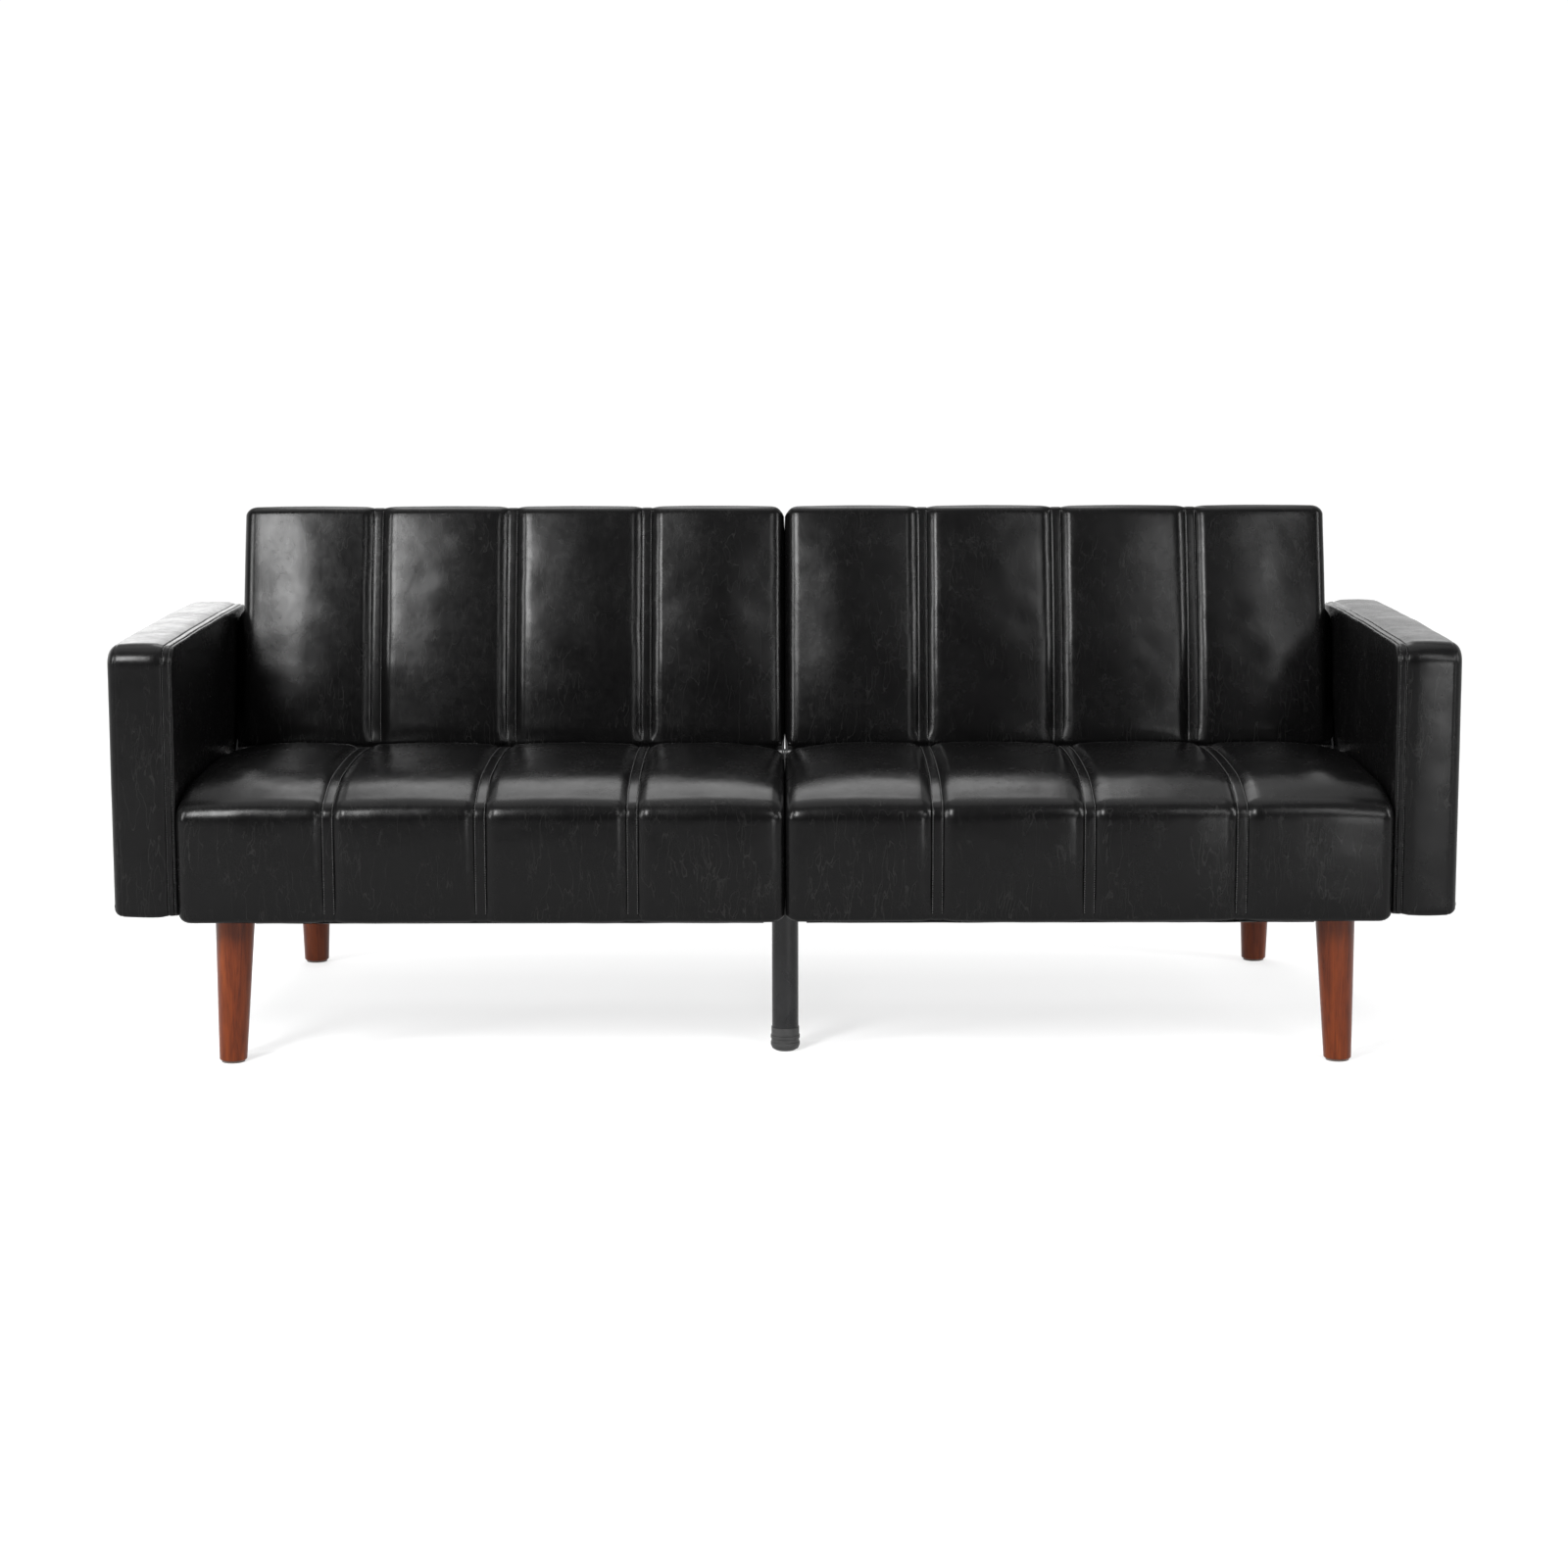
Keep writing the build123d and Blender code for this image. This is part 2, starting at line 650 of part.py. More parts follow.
def hinge_bolts(name, side):
    """Flat-headed bolts that fix the moving plates to the ends of a back half's stiles."""
    with BuildPart() as bolts:
        for u in HINGE_BOLT_U:
            y, z = slab_point(u, HINGE_BOLT_W)
            add_rod(side, INNER_LAYER[0], BACK_IN + 40, y, z, BOLT_R)
            add_rod(side, INNER_LAYER[0] - BOLT_HEAD, INNER_LAYER[0], y, z, 8)
            add_rod(side, BACK_OUT - 40, OUTER_LAYER[1], y, z, BOLT_R)
            add_rod(side, OUTER_LAYER[1], OUTER_LAYER[1] + BOLT_HEAD, y, z, 8)
    keep(bolts, f"hinge_bolts_{name}")


def pawls(name, side):
    """The two pawls whose tips follow the cams of a back half."""
    with BuildPart() as pair:
        for layer in (INNER_LAYER, OUTER_LAYER):
            plane, length = x_span(side, *layer)
            with BuildSketch(plane):
                with Locations((PAWL_Y, PAWL_Z)):
                    Circle(7)
                with Locations(pawl_tip(0)):
                    Circle(PAWL_TIP_R)
                make_hull()
                with Locations((PAWL_Y, PAWL_Z)):
                    Circle(PAWL_PIN_R + PIN_FIT, mode=Mode.SUBTRACT)
            extrude(amount=length)
    keep(pair, f"pawls_{name}")


def hinge_pins():
    """Headed pins: one row at the pivots and one at the pawls."""
    inner_head = INNER_LAYER[1] + PLATE_GAP
    outer_head = OUTER_LAYER[0] - PLATE_GAP
    for label, y, z, radius in (
        ("pivot_pins", PIVOT_Y, PIVOT_Z, PIN_R),
        ("pawl_pins", PAWL_Y, PAWL_Z, PAWL_PIN_R),
    ):
        with BuildPart() as pins:
            add_rod(1, -inner_head, inner_head, y, z, radius)
            for side in SIDES.values():
                add_rod(side, inner_head, inner_head + 1.2, y, z, radius + 1)
                add_rod(side, outer_head, SEAT_PLATE_OUT + PLATE, y, z, radius)
                add_rod(side, outer_head - 1.2, outer_head, y, z, radius + 1)
                add_rod(side, SEAT_PLATE_OUT + PLATE, SEAT_PLATE_OUT + PLATE + 1.5, y, z, radius + 2.5)
        keep(pins, label)


def pawl_springs():
    """Small coils on the pawl pins that press the pawls to the cams."""
    coil_r = PAWL_PIN_R + 2.2
    with BuildPart() as coils:
        for side in SIDES.values():
            for x in (INNER_LAYER[1] + 0.9, OUTER_LAYER[0] - 3.3):
                low = x if side > 0 else -x - 2.4
                with BuildLine() as wire:
                    Helix(1.2, 2.4, coil_r, center=(low, PAWL_Y, PAWL_Z), direction=(1, 0, 0))
                path = wire.line
                with BuildSketch(Plane(origin=path @ 0, z_dir=path % 0)):
                    Circle(0.45)
                sweep(path=path)
    keep(coils, "pawl_springs")


os.makedirs("parts", exist_ok=True)
for side_name, side_sign in SIDES.items():
    seat_cover(side_name, side_sign)
    seat_foam(side_name, side_sign)
    seat_timber(side_name, side_sign)
    seat_springs(side_name, side_sign)
    dust_cover(side_name, side_sign)
    back_cover(side_name, side_sign)
    back_foam(side_name, side_sign)
    back_timber(side_name, side_sign)
    back_springs(side_name, side_sign)
    arm_cover(side_name, side_sign)
    arm_core(side_name, side_sign)
    arm_bolts(side_name, side_sign)
    base_side_rail(side_name, side_sign)
    back_plates(side_name, side_sign)
    hinge_bolts(side_name, side_sign)
    pawls(side_name, side_sign)
base_bars()
seat_bolts()
wood_legs()
leg_fittings()
centre_leg()
seat_plates()
hinge_pins()
pawl_springs()
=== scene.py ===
"""Looks for the futon sofa bed: channelled leather cushions, box arms, wood legs, studio and camera."""

import json
from math import cos, pi, radians, sin

import bmesh
import bpy
import numpy as np
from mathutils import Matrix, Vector, noise


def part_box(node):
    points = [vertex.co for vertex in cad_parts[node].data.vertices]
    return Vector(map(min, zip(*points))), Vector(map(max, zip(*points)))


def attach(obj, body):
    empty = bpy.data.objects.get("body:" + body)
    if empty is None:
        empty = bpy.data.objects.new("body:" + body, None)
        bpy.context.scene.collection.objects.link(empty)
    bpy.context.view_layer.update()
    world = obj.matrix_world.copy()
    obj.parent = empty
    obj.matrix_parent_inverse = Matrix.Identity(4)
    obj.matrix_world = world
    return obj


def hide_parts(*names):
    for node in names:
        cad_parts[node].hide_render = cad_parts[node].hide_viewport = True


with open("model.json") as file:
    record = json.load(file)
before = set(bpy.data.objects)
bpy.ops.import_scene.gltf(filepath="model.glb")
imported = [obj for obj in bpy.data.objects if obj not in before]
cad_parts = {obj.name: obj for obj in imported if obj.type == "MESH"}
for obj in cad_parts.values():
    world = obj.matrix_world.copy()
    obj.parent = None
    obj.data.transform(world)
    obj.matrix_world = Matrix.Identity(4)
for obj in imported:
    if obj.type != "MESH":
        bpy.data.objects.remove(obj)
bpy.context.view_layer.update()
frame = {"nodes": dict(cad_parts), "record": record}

SIDES = {"left": -1, "right": 1}
PIVOT = {j["name"]: j["pos_m"] for j in frame["record"]["behaviour"]["joints"]}["back_recline_left"]
LEAN = radians(14.1)

# Lengths are in metres. Seams split each half into four channels, and each seam is a narrow strip
# between two rows of stitches.
CHANNELS = 4
STRIP = 0.0076          # half the width of the strip
SHOULDER = 0.016        # run of the slope from the strip up to the channel
ROLL = 0.0010           # rise of the middle of the strip over its edges
PINCH = 0.0017          # how far the stitch lines are drawn in below the strip
PUCKER = 0.0004         # height of the gathers beside a seam
PUCKER_REACH = 0.020    # how fast they fade away from it
DOME = 0.011            # how far the seat's crown drops at its ends
FOLD_FLOOR = -0.0018    # height over the pivot that the back's lower fold is drawn to

STITCH_LINE = 0.0067    # distance of a row of stitches from the middle of its seam
STITCH_PITCH = 0.0034
STITCH_LENGTH = 0.0026
STITCH_R = 0.00056
STITCH_SIDES = 6
STITCH_PROFILE = ((-0.5, 0.25), (-0.36, 0.9), (0.36, 0.9), (0.5, 0.25))    # place and width of its rings

WELD = 2e-5             # points closer than this become one
CAP_STEPS = 9           # rings from the edge of an end to its middle line
CAP_BULGE = 0.001       # how far an end swells outward
COLUMN_STEP = 0.009     # spacing of the columns along a cushion, away from its seams
ARM_STEP = 0.006
SEAM_REACH = 0.023      # on each side of a seam the columns follow SEAM_STEPS
SEAM_STEPS = np.array([0, 0.0022, 0.0044, 0.0058, 0.0067, 0.0072, 0.0076, 0.0079, 0.0084, 0.0092, 0.0105,
                       0.0125, 0.0152, 0.0190, 0.0232])
END_STEPS = (0, 0.0004, 0.0012, 0.0025, 0.0045, 0.007, 0.010, 0.014)
ARM_INNER_STEPS = (0, 0.0004, 0.001, 0.0018, 0.0028, 0.004)
ARM_OUTER_STEPS = (0, 0.0004, 0.0011, 0.0022, 0.0038, 0.006, 0.009)
GROOVE_STEPS = np.array([0, 0.0006, 0.0012, 0.0018, 0.0026, 0.0036])
GROOVE_WIDTH = 0.0011


# ---------------------------------------------------------------- materials

def node_maker(tree):
    """A function that adds a node to the tree, with inputs that are values or links."""
    def node(kind, inputs=(), **settings):
        made = tree.nodes.new(kind)
        for key, value in settings.items():
            setattr(made, key, value)
        for key, value in dict(inputs).items():
            if isinstance(value, bpy.types.NodeSocket):
                tree.links.new(value, made.inputs[key])
            else:
                made.inputs[key].default_value = value
        return made

    return node


def new_material(name):
    """A material with its principled shader, and functions that add a node and link the shader."""
    mat = bpy.data.materials.new(name)
    mat.use_nodes = True
    tree = mat.node_tree
    shader = tree.nodes["Principled BSDF"]

    def link(socket, key):
        tree.links.new(socket, shader.inputs[key])

    return mat, shader, node_maker(tree), link


def ramp(node, fac, stops):
    """A colour ramp over given stops of (position, grey or colour)."""
    made = node("ShaderNodeValToRGB", {"Fac": fac})
    elements = made.color_ramp.elements
    while len(elements) < len(stops):
        elements.new(0.5)
    for element, (place, value) in zip(elements, stops):
        element.position = place
        rgb = value if isinstance(value, tuple) else (value, value, value)
        element.color = (*rgb, 1)
    return made.outputs["Color"]


def math(node, operation, a, b=0.0):
    """One math node."""
    return node("ShaderNodeMath", {0: a, 1: b}, operation=operation).outputs[0]


def leather():
    """Black semi-gloss faux leather: fine pebble grain, and lighter hairlines in patches, painted highlight
    where creases catch the light.
    """
    mat, shader, node, link = new_material("black_leather")
    where = node("ShaderNodeTexCoord").outputs["Object"]
    warp = node("ShaderNodeTexNoise", {"Vector": where, "Scale": 14.0, "Detail": 4.0, "Roughness": 0.6})
    bent = node("ShaderNodeMix", {0: 0.022, 4: where, 5: warp.outputs["Color"]},
                data_type="VECTOR").outputs[1]

    def crease_set(turn, scale, thin, low, high, seed):
        """Broken hairlines of painted highlight that run one way: the zero line of a stretched noise, where a
        patch allows.
        """
        run = node("ShaderNodeMapping", {"Vector": bent, "Rotation": turn, "Location": (seed, 0, 0),
                                         "Scale": (1.0, 1.0, 0.16)}).outputs["Vector"]
        waves = node("ShaderNodeTexNoise", {"Vector": run, "Scale": scale, "Detail": 2.0})
        away = math(node, "ABSOLUTE", math(node, "SUBTRACT", waves.outputs["Fac"], 0.5))
        line = ramp(node, away, [(0.0, 1.0), (thin, 0.0)])
        place = node("ShaderNodeMapping", {"Vector": where, "Location": (0, seed, 0)}).outputs["Vector"]
        patch = node("ShaderNodeTexNoise", {"Vector": place, "Scale": 9.0, "Detail": 3.0, "Roughness": 0.65})
        return math(node, "MULTIPLY", line, ramp(node, patch.outputs["Fac"], [(low, 0.0), (high, 1.0)]))

    upright = crease_set((0.15, 0.25, 0.0), 62.0, 0.012, 0.48, 0.62, 3.1)
    slanted = crease_set((0.2, 0.85, 0.4), 66.0, 0.012, 0.48, 0.62, 11.7)
    level = crease_set((0.1, 1.35, 0.2), 50.0, 0.010, 0.50, 0.63, 23.9)
    lines = math(node, "MAXIMUM", math(node, "MAXIMUM", upright, slanted), level)
    grain = node("ShaderNodeTexVoronoi", {"Vector": where, "Scale": 950.0}, feature="SMOOTH_F1")
    mottle = node("ShaderNodeTexNoise", {"Vector": where, "Scale": 95.0, "Detail": 3.0, "Roughness": 0.6})
    soft = node("ShaderNodeTexNoise", {"Vector": where, "Scale": 15.0, "Detail": 3.0})
    colour = node("ShaderNodeMix", {0: math(node, "MULTIPLY", mottle.outputs["Fac"], 0.8),
                                    6: (0.0014, 0.0014, 0.0015, 1), 7: (0.0028, 0.0027, 0.0027, 1)},
                  data_type="RGBA")
    # Painted highlight: the crease hairlines are mixed toward a lighter colour where creases would catch the
    # light; they have no bump
    crease_highlight = node("ShaderNodeMix", {0: math(node, "MULTIPLY", lines, 0.29),
                                  6: colour.outputs[2], 7: (0.024, 0.0235, 0.023, 1)},
                data_type="RGBA")
    link(crease_highlight.outputs[2], "Base Color")
    rough = node("ShaderNodeMapRange", {"Value": mottle.outputs["Fac"], 1: 0.3, 2: 0.7, 3: 0.215, 4: 0.265})
    broad = node("ShaderNodeMapRange", {"Value": soft.outputs["Fac"], 1: 0.3, 2: 0.7, 3: -0.02, 4: 0.04})
    link(math(node, "ADD", rough.outputs[0], broad.outputs[0]), "Roughness")
    shader.inputs["Specular IOR Level"].default_value = 0.11
    fine = node("ShaderNodeBump", {"Height": grain.outputs["Distance"], "Strength": 0.08,
                                   "Distance": 0.0004})
    lumps = node("ShaderNodeBump", {"Height": mottle.outputs["Fac"], "Strength": 0.09,
                                    "Distance": 0.0010, "Normal": fine.outputs[0]})
    waves = node("ShaderNodeBump", {"Height": soft.outputs["Fac"], "Strength": 0.12,
                                    "Distance": 0.0060, "Normal": lumps.outputs[0]})
    link(waves.outputs[0], "Normal")
    return mat


def thread():
    """Black bonded thread with a twist."""
    mat, shader, node, link = new_material("black_thread")
    where = node("ShaderNodeTexCoord").outputs["Object"]
    twist = node("ShaderNodeTexNoise", {"Vector": where, "Scale": 1400.0, "Detail": 2.0})
    tone = ramp(node, twist.outputs["Fac"], [(0.3, 0.010), (0.7, 0.030)])
    link(tone, "Base Color")
    bump = node("ShaderNodeBump", {"Height": twist.outputs["Fac"], "Strength": 0.3, "Distance": 0.0002})
    link(bump.outputs[0], "Normal")
    shader.inputs["Roughness"].default_value = 0.30
    shader.inputs["Specular IOR Level"].default_value = 0.50
    return mat


def varnished_wood():
    """Red-brown varnished wood with long grain and a satin coat."""
    mat, shader, node, link = new_material("varnished_leg_wood")
    where = node("ShaderNodeTexCoord").outputs["Object"]
    long_grain = node("ShaderNodeMapping", {"Vector": where, "Scale": (1.0, 1.0, 0.07)}).outputs["Vector"]
    bands = node("ShaderNodeTexNoise", {"Vector": long_grain, "Scale": 85.0, "Detail": 5.0,
                                        "Roughness": 0.65, "Distortion": 0.6})
    pores = node("ShaderNodeTexNoise", {"Vector": long_grain, "Scale": 620.0, "Detail": 3.0})
    tone = ramp(node, bands.outputs["Fac"], [(0.25, (0.028, 0.0045, 0.0008)), (0.48, (0.074, 0.0128, 0.0018)),
                                             (0.72, (0.124, 0.0250, 0.0036))])
    dark = ramp(node, pores.outputs["Fac"], [(0.30, 0.72), (0.52, 1.0)])
    mixed = node("ShaderNodeMix", {0: 1.0, 6: tone, 7: dark}, data_type="RGBA", blend_type="MULTIPLY")
    link(mixed.outputs[2], "Base Color")
    rough = node("ShaderNodeMapRange", {"Value": bands.outputs["Fac"], 1: 0.3, 2: 0.7, 3: 0.27, 4: 0.36})
    link(rough.outputs[0], "Roughness")
    shader.inputs["Specular IOR Level"].default_value = 0.12
    shader.inputs["Coat Weight"].default_value = 0.12
    shader.inputs["Coat Roughness"].default_value = 0.16
    bump = node("ShaderNodeBump", {"Height": pores.outputs["Fac"], "Strength": 0.10, "Distance": 0.0003})
    link(bump.outputs[0], "Normal")
    return mat


def raw_timber():
    """Sawn softwood of the hidden frames."""
    mat, shader, node, link = new_material("sawn_timber")
    where = node("ShaderNodeTexCoord").outputs["Object"]
    along = node("ShaderNodeMapping", {"Vector": where, "Scale": (0.08, 1.0, 1.0)}).outputs["Vector"]
    rings = node("ShaderNodeTexNoise", {"Vector": along, "Scale": 60.0, "Detail": 5.0, "Distortion": 0.8})
    tone = ramp(node, rings.outputs["Fac"], [(0.3, (0.40, 0.25, 0.12)), (0.7, (0.66, 0.48, 0.28))])
    link(tone, "Base Color")
    shader.inputs["Roughness"].default_value = 0.75
    bump = node("ShaderNodeBump", {"Height": rings.outputs["Fac"], "Strength": 0.3, "Distance": 0.0006})
    link(bump.outputs[0], "Normal")
    return mat


def metal(name, low, high, rough, metallic, scale):
    """Painted, zinc-plated or bare steel: a tone that varies, with a slight texture."""
    mat, shader, node, link = new_material(name)
    where = node("ShaderNodeTexCoord").outputs["Object"]
    cloud = node("ShaderNodeTexNoise", {"Vector": where, "Scale": scale, "Detail": 5.0})
    fine = node("ShaderNodeTexNoise", {"Vector": where, "Scale": scale * 14, "Detail": 3.0})
    link(ramp(node, cloud.outputs["Fac"], [(0.3, low), (0.7, high)]), "Base Color")
    spread = node("ShaderNodeMapRange", {"Value": cloud.outputs["Fac"], 1: 0.3, 2: 0.7,
                                         3: rough - 0.05, 4: rough + 0.07})
    link(spread.outputs[0], "Roughness")
    shader.inputs["Metallic"].default_value = metallic
    bump = node("ShaderNodeBump", {"Height": fine.outputs["Fac"], "Strength": 0.12, "Distance": 0.0003})
    link(bump.outputs[0], "Normal")
    return mat


def cloth(name, low, high):
    """Thin non-woven cloth: matted fibres with pressed dots."""
    mat, shader, node, link = new_material(name)
    where = node("ShaderNodeTexCoord").outputs["Object"]
    fibres = node("ShaderNodeTexNoise", {"Vector": where, "Scale": 420.0, "Detail": 6.0, "Distortion": 1.5})
    dots = node("ShaderNodeTexVoronoi", {"Vector": where, "Scale": 330.0, "Randomness": 0.1})
    link(ramp(node, fibres.outputs["Fac"], [(0.3, low), (0.7, high)]), "Base Color")
    both = math(node, "ADD", fibres.outputs["Fac"], dots.outputs["Distance"])
    bump = node("ShaderNodeBump", {"Height": both, "Strength": 0.4, "Distance": 0.0004})
    link(bump.outputs[0], "Normal")
    shader.inputs["Roughness"].default_value = 0.85
    shader.inputs["Sheen Weight"].default_value = 0.15
    return mat


LEATHER = leather()
THREAD = thread()
LEG_WOOD = varnished_wood()
TIMBER = raw_timber()
BLACK_STEEL = metal("black_powder_coat", (0.004, 0.004, 0.0045), (0.009, 0.009, 0.0095), 0.30, 0.0, 40)
BLACK_STEEL.node_tree.nodes["Principled BSDF"].inputs["Specular IOR Level"].default_value = 0.25
# Dull zinc, toned far darker than bright plate as painted shade where the hinge plates show in the gaps
# beside the arms and at the crease
ZINC_DARKENED_AS_SHADE = metal("zinc_plate_darkened_as_shade", (0.10, 0.10, 0.095), (0.18, 0.18, 0.17), 0.42, 1.0, 60)
SPRING = metal("spring_wire", (0.16, 0.16, 0.17), (0.30, 0.30, 0.31), 0.38, 1.0, 90)
RUBBER = metal("black_rubber", (0.006, 0.006, 0.006), (0.013, 0.013, 0.013), 0.50, 0.0, 70)
DUST = cloth("dust_cloth", (0.012, 0.012, 0.012), (0.030, 0.030, 0.030))
FELT = cloth("felt_glide", (0.05, 0.04, 0.035), (0.11, 0.09, 0.08))
FOAM = cloth("foam", (0.62, 0.58, 0.46), (0.78, 0.74, 0.62))
SLOT_MATERIALS = {
    "leather": LEATHER, "foam": FOAM, "timber": TIMBER, "spring_wire": SPRING, "dust_cloth": DUST,
    "zinc": ZINC_DARKENED_AS_SHADE, "black_steel": BLACK_STEEL, "leg_wood": LEG_WOOD, "glide": FELT, "rubber_foot": RUBBER,
}


# ---------------------------------------------------------------- forms

def ease(value, low, high):
    """0 below low, 1 above high, smooth between."""
    t = np.clip((value - low) / (high - low), 0, 1)
    return t * t * (3 - 2 * t)


def rounded_outline(corners, radii, step):
    """A closed outline with rounded corners, anticlockwise: its points and outward normals."""
    corners = [np.array(c, float) for c in corners]
    count = len(corners)
    bends = []
    for i, here in enumerate(corners):
        before, after = corners[i - 1], corners[(i + 1) % count]
        into = (here - before) / np.linalg.norm(here - before)
        away = (after - here) / np.linalg.norm(after - here)
        turn = np.arctan2(into[0] * away[1] - into[1] * away[0], into @ away)
        bends.append((into, away, turn, radii[i] * np.tan(turn / 2)))
    points, normals = [], []
    for i, here in enumerate(corners):
        into, away, turn, cut = bends[i]
        first = np.array([into[1], -into[0]])
        centre = here - into * cut - first * radii[i]
        arc_steps = max(2, int(np.ceil(max(turn / 0.20, radii[i] * turn / step))))
        for k in range(arc_steps + 1):
            angle = turn * k / arc_steps
            normal = np.array([first[0] * cos(angle) - first[1] * sin(angle),
                               first[0] * sin(angle) + first[1] * cos(angle)])
            points.append(centre + normal * radii[i])
            normals.append(normal)
        start = points[-1]
        end = corners[(i + 1) % count] - away * bends[(i + 1) % count][3]
        flats = max(2, int(np.linalg.norm(end - start) / step))
        for k in range(1, flats):
            points.append(start + (end - start) * k / flats)
            normals.append(normals[-1])
    return np.array(points), np.array(normals)


def columns(low, high, seams, step, extra=()):
    """Values from low to high, close together beside each seam and at the ends."""
    values = set(np.round(np.linspace(low, high, int((high - low) / step) + 1), 5))
    for seam in seams:
        values = {v for v in values if abs(v - seam) > SEAM_REACH}
        values |= set(np.round(np.concatenate([seam - SEAM_STEPS, seam + SEAM_STEPS]), 5))
    values |= set(np.round(extra, 5))
    return np.array(sorted(values))


def wander(points, scale, seed):
    """Smooth noise at each point, between -1 and 1."""
    shift = Vector((seed * 7.3, seed * 3.1, seed * 5.7))
    return np.array([noise.noise(Vector(p) * scale + shift) for p in points])


def make_mesh(name, verts, faces, material, body):
    """An object from points and faces, with its normals outward, riding on a body."""
    mesh = bpy.data.meshes.new(name)
    mesh.from_pydata([tuple(v) for v in verts], [], faces)
    work = bmesh.new()
    work.from_mesh(mesh)
    bmesh.ops.remove_doubles(work, verts=work.verts, dist=WELD)
    bmesh.ops.recalc_face_normals(work, faces=work.faces)
    work.to_mesh(mesh)
    work.free()
    mesh.materials.append(material)
    mesh.polygons.foreach_set("use_smooth", [True] * len(mesh.polygons))
    piece = bpy.data.objects.new(name, mesh)
    bpy.context.scene.collection.objects.link(piece)
    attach(piece, body)
    return piece


def skin(outline, normals, xs, offset, ends, soft=1.0):
    """Rings of a padded form that runs along X, and how many of them make one end. offset(x) gives each
    ring's push along its normals, ends the rounding (length along X, depth) of the low and high end, and
    soft how much of it each point of the outline gets. The rings run from one end's middle line to the
    other's."""
    rings = []
    low, high = xs[0], xs[-1]
    medial = medial_line(outline)
    (low_run, low_deep), (high_run, high_deep) = ends
    for x in xs:
        inset = 0
        if x < low + low_run:
            inset = low_deep * (1 - np.sqrt(max(0.0, 1 - (1 - (x - low) / low_run) ** 2)))
        if x > high - high_run:
            inset = high_deep * (1 - np.sqrt(max(0.0, 1 - (1 - (high - x) / high_run) ** 2)))
        push = offset(x) - inset * soft
        rings.append(np.column_stack([np.full(len(outline), x), outline + normals * push[:, None]]))
    # The last ring of an end lies on its middle line, but nothing joins its two sides, so a slit of up
    # to about 1 mm stays open there in the finished mesh
    for end, sign in ((0, -1), (-1, 1)):
        edge = rings[end][:, 1:]
        line = medial[1] - medial[0]
        along = np.clip(((edge - medial[0]) @ line) / (line @ line), 0, 1)
        core = medial[0] + along[:, None] * line
        caps = []
        for k in range(1, CAP_STEPS + 1):
            t = k / CAP_STEPS
            flat = edge + (core - edge) * t
            bulge = CAP_BULGE * (1 - (1 - t) ** 2)
            caps.append(np.column_stack([np.full(len(flat), xs[end] + sign * bulge), flat]))
        rings = caps[::-1] + rings if end == 0 else rings + caps
    return rings, CAP_STEPS


def ring_faces(ring_count, size):
    """Quads between closed rings."""
    faces = []
    for i in range(ring_count - 1):
        for j in range(size):
            k = (j + 1) % size
            faces.append((i * size + j, i * size + k, (i + 1) * size + k, (i + 1) * size + j))
    return faces


def stitch_row(path, lift):
    """Capsule stitches along a path of points, raised a little along the given directions."""
    steps = np.linalg.norm(np.diff(path, axis=0), axis=1)
    reach = np.concatenate([[0], np.cumsum(steps)])
    count = int(reach[-1] / STITCH_PITCH)
    places = (np.arange(count) + 0.5) * STITCH_PITCH
    at = np.column_stack([np.interp(places, reach, path[:, k]) for k in range(3)])
    ahead = np.column_stack([np.interp(places + 5e-4, reach, path[:, k]) for k in range(3)])
    up = np.column_stack([np.interp(places, reach, lift[:, k]) for k in range(3)])
    verts, faces = [], []
    sides = STITCH_SIDES
    for centre, nxt, rise in zip(at, ahead, up):
        along = nxt - centre
        length = np.linalg.norm(along)
        if length < 1e-7:
            continue
        along = along / length
        rise = rise - along * (rise @ along)
        rise = rise / np.linalg.norm(rise)
        across = np.cross(along, rise)
        base = len(verts)
        for t, r in STITCH_PROFILE:
            middle = centre + along * t * STITCH_LENGTH + rise * STITCH_R * 0.35
            middle = middle - rise * STITCH_R * 1.2 * (abs(t) > 0.4)
            for k in range(sides):
                angle = 2 * pi * k / sides
                verts.append(middle + (across * cos(angle) + rise * sin(angle)) * STITCH_R * r)
        for ring in range(3):
            for k in range(sides):
                a = base + ring * sides + k
                b = base + ring * sides + (k + 1) % sides
                faces.append((a, b, b + sides, a + sides))
        faces.append(tuple(base + k for k in reversed(range(sides))))
        faces.append(tuple(base + 3 * sides + k for k in range(sides)))
    return verts, faces


def stitching(name, rows, body):
    """All stitch rows of a cushion as one piece."""
    verts, faces = [], []
    for path, lift in rows:
        more, cells = stitch_row(np.array(path), np.array(lift))
        faces += [tuple(i + len(verts) for i in cell) for cell in cells]
        verts += more
    return make_mesh(name, verts, faces, THREAD, body)


def channel_relief(x, low, high, seams, depth, crown):
    """Push of a channelled face at x: a rolled strip between two tight stitch lines lies deep between
    the shoulders of crowned channels."""
    edges = [low, *seams, high]
    relief = 0.0
    for a, b in zip(edges[:-1], edges[1:]):
        if a <= x <= b:
            t = (x - a) / (b - a)
            relief = crown * (1 - (2 * t - 1) ** 2)
    for seam in seams:
        away = abs(x - seam)
        if away <= STRIP:
            return -depth + ROLL * np.sqrt(max(0.0, 1 - (away / STRIP) ** 4)) - PINCH * (away / STRIP) ** 12
        if away < STRIP + SHOULDER:
            q = 1 - (away - STRIP) / SHOULDER
            floor = -depth - PINCH
            return relief - (relief - floor) * q ** 2.0
    return relief


